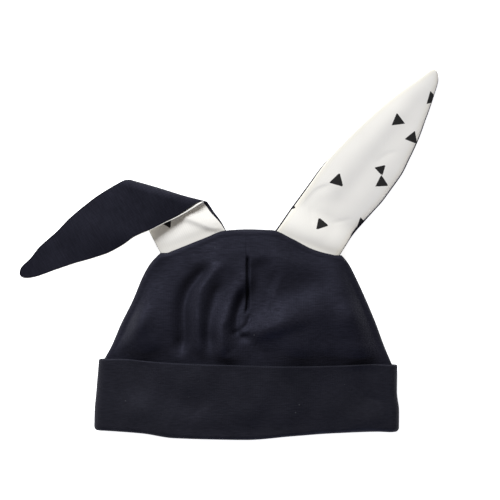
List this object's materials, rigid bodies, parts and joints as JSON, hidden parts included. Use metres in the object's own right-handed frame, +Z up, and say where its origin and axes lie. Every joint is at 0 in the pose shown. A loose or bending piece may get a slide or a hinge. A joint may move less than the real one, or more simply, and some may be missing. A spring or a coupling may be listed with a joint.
{
  "type": "baby hat with ears",
  "caption": "Soft baby hat lying flat, with a turned-up cuff, a gathered crown and long cloth ears sewn into its top seam, an ear folded over.",
  "frame": {"origin": "on the surface that the hat lies on, under the middle of the cuff on the hat's centreline", "axes": "+X across the cuff towards the ear that stands out, +Y from the rim towards the ears, +Z up off the surface"},
  "size_m": [0.262, 0.2291, 0.0251],
  "materials": {
    "crown_jersey": "brushed cotton jersey, matt",
    "cuff_jersey": "cotton jersey, matt",
    "printed_jersey": "white cotton jersey with small dark triangles",
    "ear_back_jersey": "cotton jersey, matt"
  },
  "bodies": {
    "root": {"crown_front": "crown_jersey", "crown_back": "crown_jersey", "cuff": "cuff_jersey", "upright_ear_front": "printed_jersey", "upright_ear_back": "ear_back_jersey", "folded_ear_front": "printed_jersey", "folded_ear_back": "ear_back_jersey"}
  },
  "joints": []
}
